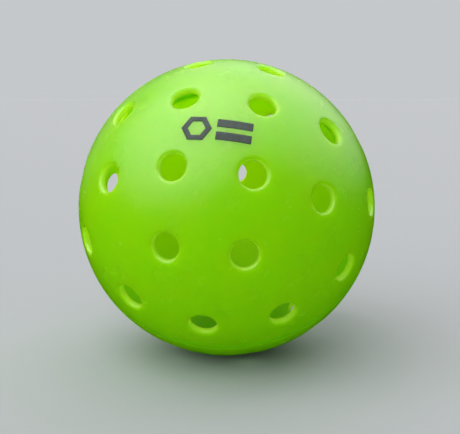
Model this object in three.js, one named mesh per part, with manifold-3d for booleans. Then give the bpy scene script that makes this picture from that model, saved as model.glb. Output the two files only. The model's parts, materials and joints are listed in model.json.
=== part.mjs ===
// Outdoor pickleball ball: two identical moulded half shells welded at the equator,
// with a generic pad-printed mark at the pole of one half. Millimetres, +Z up.
// The origin is the ball's centre. The ball lies on the ground with its poles tilted.
import * as THREE from 'three';
import { mergeVertices } from 'three/addons/utils/BufferGeometryUtils.js';
import Module from 'manifold-3d';

// Driving dimensions
const BALL_RADIUS = 37;
const WALL = 1.6;
const BORE_RADIUS = 3.1;
const EDGE_ROUND = 0.8;

// Rings of holes around the pole, from the pole to the equator, in degrees
const FOUR_HOLE_RING = 19.8;
const EIGHT_HOLE_RING = 44.2;
const EIGHT_HOLE_SPREAD = 19.8;
const TWELVE_HOLE_RING = 73.4;
const HALF_CLOCKING = 15;

// The weld at the equator
const SEAM_GAP = 0.4;
const WELD_CLEARANCE = 0.05;
const GROOVE_DEPTH = 0.15;
const FLASH_HALF_WIDTH = 0.9;
const FLASH_HEIGHT = 0.3;

// The printed mark: an outlined hexagon and two bars
const INK_GAP = 0.03;
const INK_THICKNESS = 0.06;
const MARK_TURN = 45;
const HEXAGON_CENTRE = -4.6;
const HEXAGON_RADIUS = 3.4;
const HEXAGON_LINE = 1.4;
const HEXAGON_SIDES = 6;
const BAR_LENGTH = 7.8;
const BAR_WIDTH = 2.0;
const BAR_CENTRE = 3.7;
const BAR_OFFSET = 1.6;

// How the ball lies: the pole's lean from straight up, its heading, and the turn about the poles
const POLE_LEAN = 54.1;
const POLE_HEADING = -3.6;
const POLE_SPIN = -50.6;

// Facets
const AROUND = 60;
const DOWN = 14;
const HOLE_SIDES = 16;
const ROUND_STEPS = 2;

const wasm = await Module();
wasm.setup();

const radians = THREE.MathUtils.degToRad;
const ballPlastic = new THREE.MeshStandardMaterial({ color: 0x7fd400, roughness: 0.38, metalness: 0 });
const weldPlastic = new THREE.MeshStandardMaterial({ color: 0x76c800, roughness: 0.45, metalness: 0 });
const ink = new THREE.MeshStandardMaterial({ color: 0x3c4444, roughness: 0.6, metalness: 0 });

// A closed mesh as a solid for cutting
function solidOf(geometry) {
  const bare = geometry.clone();
  bare.deleteAttribute('normal');
  bare.deleteAttribute('uv');
  const merged = mergeVertices(bare, 1e-5);
  const vertProperties = new Float32Array(merged.attributes.position.array);
  const triVerts = new Uint32Array(merged.index.array);
  return new wasm.Manifold(new wasm.Mesh({ numProp: 3, vertProperties, triVerts }));
}

// A solid back as a mesh's geometry
function geometryOf(solid) {
  const mesh = solid.getMesh();
  const geometry = new THREE.BufferGeometry();
  geometry.setAttribute('position', new THREE.BufferAttribute(mesh.vertProperties, 3));
  geometry.setIndex(new THREE.BufferAttribute(mesh.triVerts, 1));
  geometry.computeVertexNormals();
  return geometry;
}

// A profile of [distance from the axis, height] points turned about Z
function turned(profile, segments) {
  const points = profile.map(([x, y]) => new THREE.Vector2(x, y));
  return new THREE.LatheGeometry(points, segments).rotateX(Math.PI / 2);
}

// A quarter circle from the pole down to a height above the equator, as [distance, height]
function quarterArc(radius, height) {
  const last = Math.acos(height / radius);
  const points = [];
  for (let i = 0; i <= DOWN; i += 1) {
    const angle = (last * i) / DOWN;
    points.push([radius * Math.sin(angle), radius * Math.cos(angle)]);
  }
  points[0][0] = 0;
  return points;
}

// The directions of the holes of one half: [angle from the pole, angle around it]
function holeDirections() {
  const holes = [];
  for (let i = 0; i < 4; i += 1) {
    holes.push([FOUR_HOLE_RING, 90 * i]);
    holes.push([EIGHT_HOLE_RING, 90 * i + 45 - EIGHT_HOLE_SPREAD]);
    holes.push([EIGHT_HOLE_RING, 90 * i + 45 + EIGHT_HOLE_SPREAD]);
  }
  for (let i = 0; i < 12; i += 1) {
    holes.push([TWELVE_HOLE_RING, 30 * i + 15]);
  }
  return holes;
}

// A cutter for one hole at the pole: the bore, flaring to a rounded mouth at the outer face
function holeCutter() {
  const mouth = BORE_RADIUS + EDGE_ROUND;
  const roundCentre = Math.sqrt(BALL_RADIUS ** 2 - mouth ** 2) - EDGE_ROUND;
  const profile = [[0, BALL_RADIUS - 2 * WALL], [BORE_RADIUS, BALL_RADIUS - 2 * WALL]];
  for (let i = 0; i <= ROUND_STEPS; i += 1) {
    const angle = (Math.PI / 2) * (i / ROUND_STEPS);
    const flare = mouth - EDGE_ROUND * Math.cos(angle);
    profile.push([flare, roundCentre + EDGE_ROUND * Math.sin(angle)]);
  }
  profile.push([mouth + EDGE_ROUND, BALL_RADIUS + EDGE_ROUND], [0, BALL_RADIUS + EDGE_ROUND]);
  return turned(profile, HOLE_SIDES);
}

// One moulded half, its pole on +Z and its rim just above the equator
function halfShell() {
  const rim = SEAM_GAP / 2;
  const outer = quarterArc(BALL_RADIUS, rim);
  const inner = quarterArc(BALL_RADIUS - WALL, rim).reverse();
  let shell = solidOf(turned([...outer, ...inner].reverse(), AROUND));
  const cutter = holeCutter();
  for (const [fromPole, around] of holeDirections()) {
    const placed = cutter.clone().rotateY(radians(fromPole)).rotateZ(radians(around));
    shell = shell.subtract(solidOf(placed));
  }
  return geometryOf(shell);
}

// The weld: a web between the two rims and the double roll of flash on the inside
function weldRing() {
  const half = SEAM_GAP / 2 - WELD_CLEARANCE;
  const root = BALL_RADIUS - WALL - 2 * WELD_CLEARANCE;
  const profile = [
    [BALL_RADIUS - GROOVE_DEPTH, -half],
    [BALL_RADIUS - GROOVE_DEPTH, half],
    [root, half],
    [root, FLASH_HALF_WIDTH],
    [root - FLASH_HEIGHT, FLASH_HALF_WIDTH / 2],
    [root - FLASH_HEIGHT / 2, 0],
    [root - FLASH_HEIGHT, -FLASH_HALF_WIDTH / 2],
    [root, -FLASH_HALF_WIDTH],
    [root, -half],
    [BALL_RADIUS - GROOVE_DEPTH, -half],
  ];
  return turned(profile, AROUND);
}

// Wraps a flat film, lying in XY at the pole, onto the ball; its height becomes height above it
function wrapped(flat) {
  const position = flat.attributes.position;
  const point = new THREE.Vector3();
  for (let i = 0; i < position.count; i += 1) {
    point.fromBufferAttribute(position, i);
    const distance = Math.hypot(point.x, point.y);
    const angle = distance / BALL_RADIUS;
    const radius = BALL_RADIUS + INK_GAP + point.z;
    const across = distance > 0 ? (radius * Math.sin(angle)) / distance : 1;
    position.setXYZ(i, point.x * across, point.y * across, radius * Math.cos(angle));
  }
  flat.computeVertexNormals();
  return flat;
}

function inkBar(offset) {
  const bar = new THREE.BoxGeometry(BAR_LENGTH, BAR_WIDTH, INK_THICKNESS, 8, 2, 1);
  return wrapped(bar.translate(BAR_CENTRE, offset, INK_THICKNESS / 2));
}

// The corners and the points between them, around a hexagon
function hexagonPoints(radius) {
  const points = [];
  for (let side = 0; side < HEXAGON_SIDES; side += 1) {
    const start = new THREE.Vector2(radius, 0);
    const end = start.clone();
    start.rotateAround(new THREE.Vector2(), (side / HEXAGON_SIDES) * 2 * Math.PI);
    end.rotateAround(new THREE.Vector2(), ((side + 1) / HEXAGON_SIDES) * 2 * Math.PI);
    points.push(start, start.clone().lerp(end, 0.5));
  }
  return points;
}

function inkHexagon() {
  const outline = new THREE.Shape(hexagonPoints(HEXAGON_RADIUS));
  outline.holes.push(new THREE.Path(hexagonPoints(HEXAGON_RADIUS - HEXAGON_LINE)));
  const film = new THREE.ExtrudeGeometry(outline, { depth: INK_THICKNESS, bevelEnabled: false });
  return wrapped(film.translate(HEXAGON_CENTRE, 0, 0));
}

function part(name, geometry, material) {
  const mesh = new THREE.Mesh(geometry, material);
  mesh.name = name;
  return mesh;
}

const shellGeometry = halfShell();
const printedHalf = part('printed_half_shell', shellGeometry, ballPlastic);

const plainHalf = part('plain_half_shell', shellGeometry.clone(), ballPlastic);
plainHalf.rotation.set(Math.PI, 0, radians(-HALF_CLOCKING), 'ZYX');

const weld = part('weld_ring', weldRing(), weldPlastic);

const mark = new THREE.Group();
mark.rotation.z = radians(MARK_TURN);
mark.add(
  part('ink_hexagon', inkHexagon(), ink),
  part('ink_upper_bar', inkBar(BAR_OFFSET), ink),
  part('ink_lower_bar', inkBar(-BAR_OFFSET), ink),
);

const ball = new THREE.Group();
ball.rotation.z = radians(POLE_SPIN);
ball.add(printedHalf, plainHalf, weld, mark);

const resting = new THREE.Group();
resting.rotation.set(radians(POLE_LEAN), 0, radians(POLE_HEADING), 'ZYX');
resting.add(ball);

export default resting;
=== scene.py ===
"""An outdoor pickleball ball: two welded half shells of translucent plastic with a generic mark.

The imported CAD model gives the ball's radius, place and pieces. The half shells, the weld and the ink
films are rebuilt here as fine meshes of the same outer dimensions, in metres. They are built with the
pole of the printed half on +Z, and AS_IT_LIES leans them the way the ball lies on the ground.
"""
import json
import math
from math import radians

import bmesh
import bpy
import numpy as np
from mathutils import Matrix, Vector, noise
from mathutils.geometry import delaunay_2d_cdt


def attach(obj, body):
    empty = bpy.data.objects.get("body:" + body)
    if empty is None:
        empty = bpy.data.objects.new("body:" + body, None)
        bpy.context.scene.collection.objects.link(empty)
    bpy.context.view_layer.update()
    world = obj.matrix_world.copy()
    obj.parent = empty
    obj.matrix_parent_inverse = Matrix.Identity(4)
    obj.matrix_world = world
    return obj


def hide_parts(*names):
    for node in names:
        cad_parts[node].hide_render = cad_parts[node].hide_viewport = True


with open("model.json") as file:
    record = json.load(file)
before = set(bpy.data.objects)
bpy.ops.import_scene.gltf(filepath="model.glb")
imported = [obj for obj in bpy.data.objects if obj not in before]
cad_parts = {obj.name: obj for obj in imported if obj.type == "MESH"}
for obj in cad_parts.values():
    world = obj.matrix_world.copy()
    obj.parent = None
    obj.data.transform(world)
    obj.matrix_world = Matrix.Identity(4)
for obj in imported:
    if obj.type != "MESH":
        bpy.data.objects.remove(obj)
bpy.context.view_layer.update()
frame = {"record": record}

MM = 0.001
NOISE_SEED = 1

# Unseeded, noise_vector would start from the clock
noise.seed_set(NOISE_SEED)

# The ball, as in the CAD model. The ground contact point is one radius below the centre.
RADIUS = -frame["record"]["mounts"][0]["pos_m"][2]
WALL = 1.6 * MM
BORE = 3.1 * MM
LIP_ROUND = 0.8 * MM
INNER_BREAK = 0.12 * MM
BREAK_BULGE = 0.3
FOUR_HOLE_RING = 19.8
EIGHT_HOLE_RING = 44.2
EIGHT_HOLE_SPREAD = 19.8
TWELVE_HOLE_RING = 73.4
HALF_CLOCKING = 15
FLASH_HALF_WIDTH = 0.9 * MM
FLASH_HEIGHT = 0.3 * MM
POLE_LEAN = 54.1
POLE_HEADING = -3.6
POLE_SPIN = -50.6

# The seam. The rims come closer here than in the CAD model, whose touching solids need a wider gap.
SEAM_GAP = 0.12 * MM
SEAM_SHOULDER = 0.05 * MM
SEAM_EDGE_HEIGHT = 0.02 * MM
SEAM_EDGE_DEPTH = 0.012 * MM
SEAM_FACE_DEPTH = 0.04 * MM
WEB_OVERLAP = 0.004 * MM
WEB_DEPTH = 0.02 * MM
WEB_CROWN_DEPTH = 0.008 * MM
WEB_CROWN_WIDTH = 0.6
WEB_SIDE_DEPTH = 0.05 * MM
WEB_ROOT = 0.03 * MM
LOBE_FULLNESS = 0.8
LOBE_UNEVENNESS = 0.3
LOBE_WAVE = 2.2 * MM

# The printed mark. The film is as thin as ink, and thinner than the CAD solid that stands for it.
MARK_TURN = 45
HEXAGON_CENTRE = -4.6 * MM
HEXAGON_RADIUS = 3.4 * MM
HEXAGON_LINE = 1.4 * MM
BAR_LENGTH = 7.8 * MM
BAR_WIDTH = 2.0 * MM
BAR_CENTRE = 3.7 * MM
BAR_OFFSET = 1.6 * MM
INK_GAP = 0.004 * MM
INK_THICKNESS = 0.022 * MM
INK_EDGE_THICKNESS = 0.55 * INK_THICKNESS
INK_CORNER = 0.16 * MM
INK_STEP = 0.2 * MM
INK_SPACING = 0.32 * MM
INK_CLEARANCE = 0.4 * INK_SPACING
INK_WOBBLE = 0.012 * MM
INK_WOBBLE_SIZE = 0.55 * MM

# Mesh fineness
HOLE_SIDES = 48
RIM_SIDES = 288
LIP_STEPS = 8
BORE_STEPS = 3
LOBE_STEPS = 8
CORNER_STEPS = 6
ROW_STEP = 0.87
SURFACE_SPACING = 1.1 * MM
RIM_CLEARANCE = 0.5 * SURFACE_SPACING
HOLE_CLEARANCE = 0.45 * SURFACE_SPACING
# How far the rings of points around a hole are from its edge
GUARD_RINGS = (0.45 * MM, 2.3 * 0.45 * MM)
TINY = 1e-9

POLE = np.array((0.0, 0.0, 1.0))

# ---------------------------------------------------------------- shapes


def unit(from_pole, around):
    """The unit vector at an angle from the pole and an angle around it, in radians."""
    flat = math.sin(from_pole)
    return np.array((flat * math.cos(around), flat * math.sin(around), math.cos(from_pole)))


def hole_directions():
    """The centres of one half's holes, as unit vectors."""
    polar = []
    for i in range(4):
        polar.append((FOUR_HOLE_RING, 90 * i))
        polar.append((EIGHT_HOLE_RING, 90 * i + 45 - EIGHT_HOLE_SPREAD))
        polar.append((EIGHT_HOLE_RING, 90 * i + 45 + EIGHT_HOLE_SPREAD))
    for i in range(12):
        polar.append((TWELVE_HOLE_RING, 30 * i + 15))
    return [unit(radians(a), radians(b)) for a, b in polar]


def ring_about(axis, distance, height, count):
    """A circle about an axis through the ball's centre, at a distance from it and a height up it."""
    off_axis = (0.31, 0.17, 0.93) if abs(axis[2]) < 0.9 else (1.0, 0.0, 0.0)
    side = np.cross(axis, off_axis)
    side /= np.linalg.norm(side)
    other = np.cross(axis, side)
    turn = np.linspace(0, 2 * math.pi, count, endpoint=False)[:, None]
    return axis * height + distance * (np.cos(turn) * side + np.sin(turn) * other)


def hole_profile():
    """(distance from the bore's axis, height along it), from the outer sphere in to the inner one."""
    centre_out = BORE + LIP_ROUND
    centre_up = math.sqrt((RADIUS - LIP_ROUND) ** 2 - centre_out**2)
    start = math.pi / 2 - math.asin(centre_out / (RADIUS - LIP_ROUND))
    points = []
    for i in range(LIP_STEPS + 1):
        a = start + (math.pi - start) * i / LIP_STEPS
        points.append((centre_out + LIP_ROUND * math.cos(a), centre_up + LIP_ROUND * math.sin(a)))
    inside = RADIUS - WALL
    break_top = math.sqrt(inside**2 - BORE**2) + INNER_BREAK
    for i in range(1, BORE_STEPS + 1):
        points.append((BORE, centre_up + (break_top - centre_up) * i / BORE_STEPS))
    edge = BORE + INNER_BREAK
    points.append((BORE + BREAK_BULGE * INNER_BREAK, break_top - (1 - BREAK_BULGE) * INNER_BREAK))
    points.append((edge, math.sqrt(inside**2 - edge**2)))
    return points


def lattice(from_pole_limit, spacing_angle):
    """Points spread evenly over the cap around the pole, as unit vectors."""
    rows = max(1, int(from_pole_limit / (spacing_angle * ROW_STEP)))
    points = [POLE]
    for row in range(1, rows):
        a = from_pole_limit * row / rows
        count = max(6, int(2 * math.pi * math.sin(a) / spacing_angle))
        for i in range(count):
            points.append(unit(a, 2 * math.pi * (i + 0.5 * (row % 2)) / count))
    return points


# The places in a half shell's list of materials
OUTER, LIP, EDGE, INNER, JOINED = 0, 1, 2, 3, 4


class Shell:
    """Vertices and faces gathered while a piece is built, each face with its material's number."""

    def __init__(self):
        self.points = []
        self.faces = []
        self.looks = []
        self.look = OUTER

    def add(self, points):
        """Adds points and returns their numbers."""
        first = len(self.points)
        self.points.extend(np.asarray(p, float) for p in points)
        return list(range(first, len(self.points)))

    def face(self, corners):
        self.faces.append(tuple(corners))
        self.looks.append(self.look)

    def bridge(self, a, b):
        """Joins two rings of the same number of points with a strip of quads."""
        for i in range(len(a)):
            j = (i + 1) % len(a)
            self.face((a[i], a[j], b[j], b[i]))


def spherical_sheet(shell, radius, hole_rings, hole_angle, rim_ring):
    """Fills a sphere's cap between the hole rings and the rim ring with even triangles.

    Two guard rings around each hole keep the triangles next to it small and regular.
    """
    holes = np.array(hole_directions())
    rim_angle = math.acos(shell.points[rim_ring[0]][2] / radius)
    loose = []
    for axis in holes:
        for distance in GUARD_RINGS:
            reach = hole_angle + distance / RADIUS
            loose.extend(ring_about(axis, math.sin(reach), math.cos(reach), HOLE_SIDES))
    hole_limit = math.cos(hole_angle + (GUARD_RINGS[-1] + HOLE_CLEARANCE) / RADIUS)
    rim_limit = rim_angle - RIM_CLEARANCE / RADIUS
    for point in lattice(rim_angle, SURFACE_SPACING / RADIUS):
        if (holes @ point).max() < hole_limit and math.acos(point[2]) < rim_limit:
            loose.append(point)
    loose_ring = shell.add([p * radius for p in loose])
    numbers = [i for ring in hole_rings for i in ring] + list(rim_ring) + loose_ring
    place = {number: i for i, number in enumerate(numbers)}
    flat = []
    for number in numbers:
        x, y, z = shell.points[number]
        across = math.hypot(x, y)
        scale = math.atan2(across, z) / across if across > TINY else 0
        flat.append(Vector((x * scale, y * scale)))
    edges = []
    for ring in [*hole_rings, rim_ring]:
        edges.extend((place[a], place[b]) for a, b in zip(ring, ring[1:] + ring[:1]))
    _, _, triangles, sources, _, _ = delaunay_2d_cdt(flat, edges, [], 0, TINY)
    hole_of = {place[number]: k for k, ring in enumerate(hole_rings) for number in ring}
    for triangle in triangles:
        corners = [sources[i][0] for i in triangle]
        owners = {hole_of.get(c) for c in corners}
        closes_a_hole = len(owners) == 1 and None not in owners
        if not closes_a_hole:
            shell.face(numbers[c] for c in corners)


def flash_lobe(inside, rim):
    """Rings of the roll of melted plastic that was squeezed inwards along the rim."""
    rings = []
    for i in range(LOBE_STEPS + 1):
        across = i / LOBE_STEPS
        up = rim + (FLASH_HALF_WIDTH - rim) * across
        inward = FLASH_HEIGHT * math.sin(math.pi * across) ** LOBE_FULLNESS
        ring = ring_about(POLE, math.sqrt(inside**2 - up**2), up, RIM_SIDES)
        for k, point in enumerate(ring):
            wave = 1 + LOBE_UNEVENNESS * noise.noise(Vector(point) / LOBE_WAVE)
            ring[k, :2] *= 1 - inward * wave / math.hypot(point[0], point[1])
        rings.append(ring)
    return rings


def half_shell():
    """One moulded half, its pole on +Z: outer and inner sheets, holes and rim, as one closed skin."""
    shell = Shell()
    profile = hole_profile()
    tubes = []
    for axis in hole_directions():
        tubes.append([shell.add(ring_about(axis, out, up, HOLE_SIDES)) for out, up in profile])
    half_lip = LIP_STEPS // 2
    # The inner half of the lip and the bore wall get the looks with painted light
    tube_looks = [OUTER] * half_lip + [LIP] * half_lip + [EDGE] * (len(profile) - 1 - LIP_STEPS)
    for rings in tubes:
        for a, b, look in zip(rings, rings[1:], tube_looks):
            shell.look = look
            shell.bridge(a, b)
    rim = SEAM_GAP / 2
    inside = RADIUS - WALL
    shoulder = rim + SEAM_SHOULDER
    rim_profile = [
        (math.sqrt(RADIUS**2 - shoulder**2), shoulder),
        (RADIUS - SEAM_EDGE_DEPTH, rim + SEAM_EDGE_HEIGHT),
        (RADIUS - SEAM_FACE_DEPTH, rim),
        (RADIUS - 0.5 * WALL, rim),
    ]
    rim_rings = [shell.add(ring_about(POLE, out, up, RIM_SIDES)) for out, up in rim_profile]
    rim_rings += [shell.add(ring) for ring in flash_lobe(inside, rim)]
    rim_looks = [OUTER, OUTER, JOINED, JOINED] + [INNER] * LOBE_STEPS
    for a, b, look in zip(rim_rings, rim_rings[1:], rim_looks):
        shell.look = look
        shell.bridge(a, b)
    outer_angle = math.asin(profile[0][0] / RADIUS)
    inner_angle = math.asin(profile[-1][0] / inside)
    shell.look = INNER
    spherical_sheet(shell, inside, [t[-1] for t in tubes], inner_angle, rim_rings[-1])
    shell.look = OUTER
    spherical_sheet(shell, RADIUS, [t[0] for t in tubes], outer_angle, rim_rings[0])
    return shell


def weld_ring():
    """The weld: a thin web that fills the joint, almost flush with the outer face."""
    half = SEAM_GAP / 2 + WEB_OVERLAP
    inside = RADIUS - WALL
    section = [
        (RADIUS - WEB_DEPTH, -WEB_CROWN_WIDTH * half),
        (RADIUS - WEB_CROWN_DEPTH, 0),
        (RADIUS - WEB_DEPTH, WEB_CROWN_WIDTH * half),
        (RADIUS - WEB_SIDE_DEPTH, half),
        (inside + WEB_ROOT, half),
        (inside - WEB_ROOT, 0),
        (inside + WEB_ROOT, -half),
        (RADIUS - WEB_SIDE_DEPTH, -half),
    ]
    shell = Shell()
    rings = [shell.add(ring_about(POLE, out, up, RIM_SIDES)) for out, up in section]
    for a, b in zip(rings, rings[1:] + rings[:1]):
        shell.bridge(a, b)
    return shell


# ---------------------------------------------------------------- printed mark


def rounded_outline(corners):
    """A closed, slightly wavy outline with rounded corners, as points about one step apart."""
    corners = [np.array(corner, float) for corner in corners]
    rounded = []
    for before, corner, after in zip(corners[-1:] + corners, corners, corners[1:] + corners[:1]):
        back = (before - corner) / np.linalg.norm(before - corner)
        ahead = (after - corner) / np.linalg.norm(after - corner)
        half_turn = math.acos(max(-1, min(1, float(back @ ahead)))) / 2
        start = corner + back * INK_CORNER / math.tan(half_turn)
        end = corner + ahead * INK_CORNER / math.tan(half_turn)
        rounded.append((start, corner, end))
    points = []
    for (start, corner, end), (stop, _, _) in zip(rounded, rounded[1:] + rounded[:1]):
        for k in range(CORNER_STEPS + 1):
            t = k / CORNER_STEPS
            points.append((1 - t) ** 2 * start + 2 * t * (1 - t) * corner + t * t * end)
        pieces = max(1, int(np.linalg.norm(stop - end) / INK_STEP))
        points.extend(end + (stop - end) * j / pieces for j in range(1, pieces))
    wobbled = []
    for point in points:
        shift = noise.noise_vector(Vector((point[0], point[1], 0)) / INK_WOBBLE_SIZE)
        wobbled.append(point + INK_WOBBLE * np.array((shift.x, shift.y)))
    return wobbled


def inside_outline(point, outline):
    """True if a flat point lies inside a closed outline."""
    x, y = point
    inside = False
    for (ax, ay), (bx, by) in zip(outline, outline[1:] + outline[:1]):
        if (ay > y) != (by > y) and x < ax + (y - ay) / (by - ay) * (bx - ax):
            inside = not inside
    return inside


def on_ball(flat, height):
    """A flat point at the pole, wrapped onto the ball at a height above it."""
    distance = math.hypot(flat[0], flat[1])
    if distance < TINY:
        return np.array((0.0, 0.0, RADIUS + height))
    angle = distance / RADIUS
    across = (RADIUS + height) * math.sin(angle) / distance
    return np.array((flat[0] * across, flat[1] * across, (RADIUS + height) * math.cos(angle)))


def in_film(point, outline, hole):
    """True if a flat point lies inside a film's outline and outside its hole."""
    return inside_outline(point, outline) and not (hole and inside_outline(point, hole))


def film_points(outline, hole, borders):
    """Flat points spread evenly over a film, clear of its borders."""
    xs, ys = zip(*outline)
    points = []
    row = 0
    y = min(ys)
    while y < max(ys):
        x = min(xs) + (row % 2) * INK_SPACING / 2
        while x < max(xs):
            clear = np.hypot(*(borders - (x, y)).T).min() > INK_CLEARANCE
            if clear and in_film((x, y), outline, hole):
                points.append((x, y))
            x += INK_SPACING
        y += INK_SPACING * ROW_STEP
        row += 1
    return points


def ink_film(outline, hole=None):
    """A thin closed film on the ball, thinner along its edge."""
    loops = [outline, hole] if hole else [outline]
    borders = np.array([p for loop in loops for p in loop])
    flat = [tuple(p) for p in borders] + film_points(outline, hole, borders)
    rings = []
    edges = []
    first = 0
    for loop in loops:
        ring = list(range(first, first + len(loop)))
        rings.append(ring)
        edges.extend(zip(ring, ring[1:] + ring[:1]))
        first += len(loop)
    _, _, triangles, sources, _, _ = delaunay_2d_cdt([Vector(p) for p in flat], edges, [], 0, TINY)
    shell = Shell()
    top = []
    for i, point in enumerate(flat):
        thickness = INK_EDGE_THICKNESS if i < len(borders) else INK_THICKNESS
        top.append(on_ball(point, INK_GAP + thickness))
    upper = shell.add(top)
    lower = shell.add([on_ball(point, INK_GAP) for point in flat])
    for triangle in triangles:
        corners = [sources[i][0] for i in triangle]
        middle = np.mean([flat[c] for c in corners], axis=0)
        if in_film(middle, outline, hole):
            shell.face(upper[c] for c in corners)
            shell.face(lower[c] for c in reversed(corners))
    for ring in rings:
        shell.bridge([upper[i] for i in ring], [lower[i] for i in ring])
    return shell


def hexagon(radius):
    """The corners of a hexagon of the mark."""
    return [
        (HEXAGON_CENTRE + radius * math.cos(k * math.pi / 3), radius * math.sin(k * math.pi / 3))
        for k in range(6)
    ]


def bar(offset):
    """The corners of a bar of the mark."""
    left, right = BAR_CENTRE - BAR_LENGTH / 2, BAR_CENTRE + BAR_LENGTH / 2
    low, high = offset - BAR_WIDTH / 2, offset + BAR_WIDTH / 2
    return [(left, low), (right, low), (right, high), (left, high)]


# ---------------------------------------------------------------- pieces

AS_IT_LIES = (
    Matrix.Rotation(radians(POLE_HEADING), 4, "Z")
    @ Matrix.Rotation(radians(POLE_LEAN), 4, "X")
    @ Matrix.Rotation(radians(POLE_SPIN), 4, "Z")
)


def piece(name, shell, turn, materials, node):
    """A named mesh in the row frame that stands for one CAD node and rides on the ball."""
    mesh = bpy.data.meshes.new(name)
    mesh.from_pydata([tuple(p) for p in shell.points], [], shell.faces)
    work = bmesh.new()
    work.from_mesh(mesh)
    bmesh.ops.recalc_face_normals(work, faces=work.faces)
    work.to_mesh(mesh)
    work.free()
    mesh.transform(AS_IT_LIES @ turn)
    mesh.polygons.foreach_set("use_smooth", [True] * len(mesh.polygons))
    for material in materials:
        mesh.materials.append(material)
    mesh.polygons.foreach_set("material_index", shell.looks)
    mesh.update()
    thing = bpy.data.objects.new(name, mesh)
    bpy.context.scene.collection.objects.link(thing)
    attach(thing, "root")
    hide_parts(node)


# ---------------------------------------------------------------- materials

# Pairs of colours that the clouds in the plastic blend between
SKIN = ((0.24, 0.955, 0.002), (0.22, 0.945, 0.002))
# Painted light: the lip and bore-wall colours are lighter and whiter than SKIN, standing for reflected
# sky on the lips and light through the bore walls
LIP_SKIN = ((0.29, 0.95, 0.03), (0.27, 0.94, 0.03))
EDGE_SKIN = ((0.36, 0.96, 0.04), (0.34, 0.95, 0.03))
WELD_SKIN = ((0.20, 0.66, 0.003), (0.18, 0.62, 0.003))
INK = ((0.026, 0.036, 0.032), (0.044, 0.058, 0.052))

# The colour of the painted glow that brightens the lip, edge and joined faces
DYE_GLOW = (0.55, 1.0, 0.0)
DUST = (0.75, 0.9, 0.6)
GRIT = (0.06, 0.22, 0.01)
INK_PORE = (0.16, 0.3, 0.05)

# How far red, green and blue light travel in the plastic
SCATTER_DISTANCE = 14 * MM
SCATTER_SHARES = (0.8, 1.0, 0.07)

REFRACTION = 1.5
SPOT_CORE = 0.6


class Nodes:
    """Short calls for building a material's node tree around one Principled shader."""

    def __init__(self, name):
        self.material = bpy.data.materials.new(name)
        self.material.use_nodes = True
        self.tree = self.material.node_tree
        self.tree.nodes.clear()
        output = self.tree.nodes.new("ShaderNodeOutputMaterial")
        self.shader = self.tree.nodes.new("ShaderNodeBsdfPrincipled")
        self.shader.inputs["IOR"].default_value = REFRACTION
        self.link(self.shader.outputs[0], output.inputs["Surface"])
        self.where = self.tree.nodes.new("ShaderNodeTexCoord").outputs["Object"]

    def link(self, a, b):
        self.tree.links.new(a, b)

    def noise(self, size, detail=2.0, roughness=0.5, stretch=None, shift=(0, 0, 0)):
        """A noise value with features about one size (in metres) across."""
        mapping = self.tree.nodes.new("ShaderNodeMapping")
        mapping.inputs["Location"].default_value = shift
        mapping.inputs["Scale"].default_value = stretch or (1, 1, 1)
        self.link(self.where, mapping.inputs["Vector"])
        node = self.tree.nodes.new("ShaderNodeTexNoise")
        node.inputs["Scale"].default_value = 1 / size
        node.inputs["Detail"].default_value = detail
        node.inputs["Roughness"].default_value = roughness
        self.link(mapping.outputs[0], node.inputs["Vector"])
        return node.outputs["Fac"]

    def spots(self, cell, radius, share, shift=(0, 0, 0)):
        """1 in small round spots, one in each of a share of the cells, 0 elsewhere."""
        mapping = self.tree.nodes.new("ShaderNodeMapping")
        mapping.inputs["Location"].default_value = shift
        self.link(self.where, mapping.inputs["Vector"])
        node = self.tree.nodes.new("ShaderNodeTexVoronoi")
        node.inputs["Scale"].default_value = 1 / cell
        self.link(mapping.outputs[0], node.inputs["Vector"])
        reach = radius / cell
        near = self.ramp(node.outputs["Distance"], reach * SPOT_CORE, reach, 1, 0)
        split = self.tree.nodes.new("ShaderNodeSeparateColor")
        self.link(node.outputs["Color"], split.inputs[0])
        chosen = self.ramp(split.outputs[0], 1 - share, 1 - share + 0.01, 0, 1)
        return self.math("MULTIPLY", near, chosen)

    def ramp(self, value, low, high, out_low, out_high):
        """A value turned smoothly from the range low to high into another range."""
        node = self.tree.nodes.new("ShaderNodeMapRange")
        node.interpolation_type = "SMOOTHSTEP"
        node.inputs["From Min"].default_value = low
        node.inputs["From Max"].default_value = high
        node.inputs["To Min"].default_value = out_low
        node.inputs["To Max"].default_value = out_high
        self.link(value, node.inputs["Value"])
        return node.outputs[0]

    def math(self, operation, a, b):
        """An operation on two values, each a socket or a number."""
        node = self.tree.nodes.new("ShaderNodeMath")
        node.operation = operation
        for socket, value in zip(node.inputs, (a, b)):
            if isinstance(value, (int, float)):
                socket.default_value = value
            else:
                self.link(value, socket)
        return node.outputs[0]

    def blend(self, factor, a, b):
        """A blend of two colours, each a socket or a tuple."""
        node = self.tree.nodes.new("ShaderNodeMix")
        node.data_type = "RGBA"
        self.link(factor, node.inputs[0])
        for socket, value in zip((node.inputs[6], node.inputs[7]), (a, b)):
            if isinstance(value, tuple):
                socket.default_value = (*value, 1)
            else:
                self.link(value, socket)
        return node.outputs[2]

    def bump(self, height, distance, after=None):
        """A normal that shows a height at its distance in metres, on top of another normal."""
        node = self.tree.nodes.new("ShaderNodeBump")
        node.inputs["Distance"].default_value = distance
        self.link(height, node.inputs["Height"])
        if after is not None:
            self.link(after, node.inputs["Normal"])
        return node.outputs[0]

    def set(self, **values):
        """Sets the shader's sockets, each from a socket or a plain value."""
        for name, value in values.items():
            socket = self.shader.inputs[name.replace("_", " ")]
            if isinstance(value, bpy.types.NodeSocket):
                self.link(value, socket)
            else:
                socket.default_value = value


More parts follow.
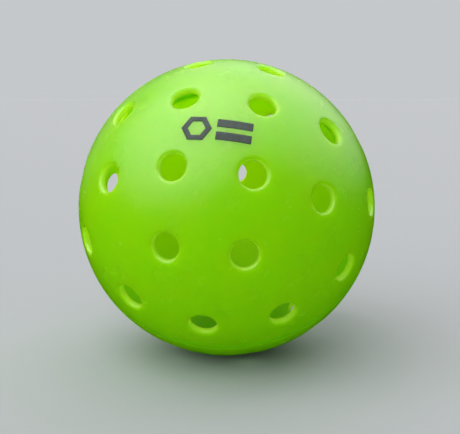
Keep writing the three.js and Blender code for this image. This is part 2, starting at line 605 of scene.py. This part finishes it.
def ball_plastic(name, skin, rough_low, rough_high):
    """Neon green polyethylene with faint clouds, specks and handling scuffs."""
    n = Nodes(name)
    clouds = n.ramp(n.noise(11 * MM, 3), 0.35, 0.65, 0, 1)
    colour = n.blend(clouds, *skin)
    dust = n.spots(2.6 * MM, 0.10 * MM, 0.03)
    colour = n.blend(n.math("MULTIPLY", dust, 0.6), colour, DUST)
    grit = n.spots(3.1 * MM, 0.09 * MM, 0.03, shift=(0.4, 0.2, 0.1))
    colour = n.blend(n.math("MULTIPLY", grit, 0.55), colour, GRIT)
    scuffs = n.ramp(n.noise(1.6 * MM, 4, 0.6, stretch=(1, 0.22, 1)), 0.62, 0.74, 0, 1)
    patches = n.ramp(n.noise(9 * MM, 2, shift=(3, 1, 2)), 0.5, 0.68, 0, 1)
    worn = n.math("MULTIPLY", scuffs, patches)
    rough = n.ramp(n.noise(6 * MM, 3, shift=(1, 5, 2)), 0.3, 0.7, rough_low, rough_high)
    rough = n.math("ADD", rough, n.math("MULTIPLY", worn, 0.03))
    peel = n.noise(2.4 * MM, 2)
    grain = n.noise(0.16 * MM, 2)
    normal = n.bump(peel, 0.003 * MM)
    normal = n.bump(grain, 0.0012 * MM, after=normal)
    n.set(Base_Color=colour, Roughness=rough, Normal=normal)
    return n


def shell_skin(name, skin, rough_low, rough_high, gloss, glow):
    """The shells' plastic: light passes through the wall. Any glow is painted light that brightens
    faces such as the hole lips, bore walls and welded faces.
    """
    n = ball_plastic(name, skin, rough_low, rough_high)
    n.set(Specular_IOR_Level=gloss)
    n.set(Subsurface_Weight=1.0, Subsurface_Scale=SCATTER_DISTANCE, Subsurface_Radius=SCATTER_SHARES)
    n.set(Emission_Color=(*DYE_GLOW, 1), Emission_Strength=glow)
    n.material.cycles.emission_sampling = "NONE"
    return n.material


def ink_material(name):
    """Thin charcoal pad-printing ink, a little cloudy and thin in places."""
    n = Nodes(name)
    clouds = n.ramp(n.noise(1.5 * MM, 4, 0.6), 0.35, 0.7, 0, 1)
    colour = n.blend(clouds, *INK)
    pores = n.spots(0.9 * MM, 0.05 * MM, 0.10)
    colour = n.blend(n.math("MULTIPLY", pores, 0.5), colour, INK_PORE)
    rough = n.ramp(n.noise(0.8 * MM, 3, shift=(2, 2, 2)), 0.3, 0.7, 0.46, 0.58)
    normal = n.bump(n.noise(0.12 * MM, 3), 0.003 * MM)
    n.set(Base_Color=colour, Roughness=rough, Normal=normal, Specular_IOR_Level=0.25)
    return n.material


# In the order of OUTER, LIP, EDGE, INNER and JOINED. The lip and edge looks carry painted light: a
# glow and a lighter colour that brighten the hole lips and bore walls. Subsurface light doesn't cross
# from one object to another, so on the welded faces the glow stands for the light that passes from one
# half to the other.
shell_looks = [
    shell_skin("shell_plastic", SKIN, 0.22, 0.28, gloss=0.5, glow=0.0),
    shell_skin("shell_plastic_lip", LIP_SKIN, 0.24, 0.30, gloss=0.5, glow=0.09),
    shell_skin("shell_plastic_edge", EDGE_SKIN, 0.45, 0.55, gloss=0.3, glow=0.13),
    shell_skin("shell_plastic_inside", SKIN, 0.5, 0.6, gloss=0.25, glow=0.0),
    shell_skin("shell_plastic_joined", SKIN, 0.5, 0.6, gloss=0.25, glow=0.12),
]
weld_plastic = ball_plastic("weld_plastic", WELD_SKIN, 0.45, 0.55).material
ink = ink_material("mark_ink")

moulding = half_shell()
upright = Matrix.Identity(4)
turned_over = Matrix.Rotation(radians(-HALF_CLOCKING), 4, "Z") @ Matrix.Rotation(math.pi, 4, "X")
mark_turn = Matrix.Rotation(radians(MARK_TURN), 4, "Z")

piece("printed_half_shell_fine", moulding, upright, shell_looks, "printed_half_shell")
piece("plain_half_shell_fine", moulding, turned_over, shell_looks, "plain_half_shell")
piece("weld_ring_fine", weld_ring(), upright, [weld_plastic], "weld_ring")

hexagon_film = ink_film(
    rounded_outline(hexagon(HEXAGON_RADIUS)),
    rounded_outline(hexagon(HEXAGON_RADIUS - HEXAGON_LINE)),
)
piece("ink_hexagon_fine", hexagon_film, mark_turn, [ink], "ink_hexagon")
for name, offset in (("ink_upper_bar", BAR_OFFSET), ("ink_lower_bar", -BAR_OFFSET)):
    film = ink_film(rounded_outline(bar(offset)))
    piece(name + "_fine", film, mark_turn, [ink], name)

# ---------------------------------------------------------------- floor, light and camera

FLOOR_SIZE = 5.0
FLOOR_COLOUR = (0.36, 0.37, 0.385, 1)
FLOOR_ROUGHNESS = 0.9
FLOOR_GLOSS = 0.1

# The floor's own colour where the suns light it, so that no horizon shows
BACKDROP_COLOUR = (0.56, 0.577, 0.594, 1)

# What the glossy surface mirrors: soft lights on a dark sky, each as (direction, the cosine at its
# edge, brightness at its middle)
MIRRORED_LIGHTS = (
    ((0.45, 0.35, 1.0), 0.50, 2.2),
    ((-1.0, -0.6, 1.75), 0.58, 3.4),
    ((-0.45, 0.75, 0.6), 0.75, 0.35),
)

# What lights the ball: (name, direction, width in degrees, strength)
SUNS = (
    ("rear_top", (0.0, 0.7, 1.0), 90, 2.3),
    ("front_left", (-0.75, -0.7, 0.9), 80, 3.05),
    ("front_right", (0.6, -0.8, 0.5), 90, 1.1),
)

# The camera's place in ball radii from the ball's centre, and how far it looks down in degrees
CAMERA_PLACE = (0.022, -5.806, 0.896)
CAMERA_PITCH = 9.4
SENSOR_WIDTH = 36
FOCAL_LENGTH = 67.1
NEAREST_SEEN = 0.01


def floor():
    """A plain pale floor. Its mirror image is left to the surroundings."""
    mesh = bpy.data.meshes.new("floor")
    s = FLOOR_SIZE / 2
    corners = [(-s, -s, -RADIUS), (s, -s, -RADIUS), (s, s, -RADIUS), (-s, s, -RADIUS)]
    mesh.from_pydata(corners, [], [(0, 1, 2, 3)])
    material = bpy.data.materials.new("floor_paint")
    material.use_nodes = True
    shader = material.node_tree.nodes["Principled BSDF"]
    shader.inputs["Base Color"].default_value = FLOOR_COLOUR
    shader.inputs["Roughness"].default_value = FLOOR_ROUGHNESS
    shader.inputs["Specular IOR Level"].default_value = FLOOR_GLOSS
    mesh.materials.append(material)
    thing = bpy.data.objects.new("floor", mesh)
    thing.visible_glossy = False
    bpy.context.scene.collection.objects.link(thing)


def surroundings():
    """A dark studio with large soft lights, for reflections only. Each light is added to the rest."""
    world = bpy.data.worlds.new("studio")
    bpy.context.scene.world = world
    world.use_nodes = True
    world.cycles_visibility.diffuse = False
    tree = world.node_tree
    background = tree.nodes["Background"]
    background.inputs["Color"].default_value = (1, 1, 1, 1)
    where = tree.nodes.new("ShaderNodeTexCoord")
    open_socket = background.inputs["Strength"]
    for direction, edge, brightness in MIRRORED_LIGHTS:
        along = tree.nodes.new("ShaderNodeVectorMath")
        along.operation = "DOT_PRODUCT"
        along.inputs[1].default_value = Vector(direction).normalized()
        rise = tree.nodes.new("ShaderNodeMapRange")
        rise.inputs["From Min"].default_value = edge
        rise.inputs["To Max"].default_value = brightness
        tree.links.new(where.outputs["Generated"], along.inputs[0])
        tree.links.new(along.outputs["Value"], rise.inputs["Value"])
        add = tree.nodes.new("ShaderNodeMath")
        add.inputs[1].default_value = 0
        tree.links.new(rise.outputs[0], add.inputs[0])
        tree.links.new(add.outputs[0], open_socket)
        open_socket = add.inputs[1]


def backdrop():
    """A pale dome all round, seen by the camera only."""
    material = bpy.data.materials.new("backdrop_paint")
    material.use_nodes = True
    tree = material.node_tree
    glow = tree.nodes.new("ShaderNodeEmission")
    glow.inputs["Color"].default_value = BACKDROP_COLOUR
    tree.links.new(glow.outputs[0], tree.nodes["Material Output"].inputs["Surface"])
    mesh = bpy.data.meshes.new("backdrop")
    work = bmesh.new()
    bmesh.ops.create_uvsphere(work, u_segments=48, v_segments=24, radius=FLOOR_SIZE / 2)
    work.to_mesh(mesh)
    work.free()
    mesh.materials.append(material)
    thing = bpy.data.objects.new("backdrop", mesh)
    thing.visible_diffuse = thing.visible_glossy = thing.visible_shadow = False
    thing.visible_transmission = thing.visible_volume_scatter = False
    bpy.context.scene.collection.objects.link(thing)


def soft_light(name, direction, width, strength):
    """White light from a wide disc of sky around a direction. It leaves no reflection."""
    data = bpy.data.lights.new(name, "SUN")
    data.angle = radians(width)
    data.energy = strength
    thing = bpy.data.objects.new(name, data)
    thing.visible_glossy = False
    thing.rotation_euler = (-Vector(direction)).to_track_quat("-Z", "Y").to_euler()
    bpy.context.scene.collection.objects.link(thing)


def camera():
    """The photograph's view: close to the ball, a little above it, looking slightly down."""
    data = bpy.data.cameras.new("camera")
    data.sensor_width = SENSOR_WIDTH
    data.lens = FOCAL_LENGTH
    data.clip_start = NEAREST_SEEN
    thing = bpy.data.objects.new("camera", data)
    thing.location = [RADIUS * along for along in CAMERA_PLACE]
    thing.rotation_euler = (radians(90 - CAMERA_PITCH), 0, 0)
    bpy.context.scene.collection.objects.link(thing)
    bpy.context.scene.camera = thing


floor()
backdrop()
surroundings()
for sun in SUNS:
    soft_light(*sun)
camera()
bpy.context.scene.view_settings.view_transform = "Standard"
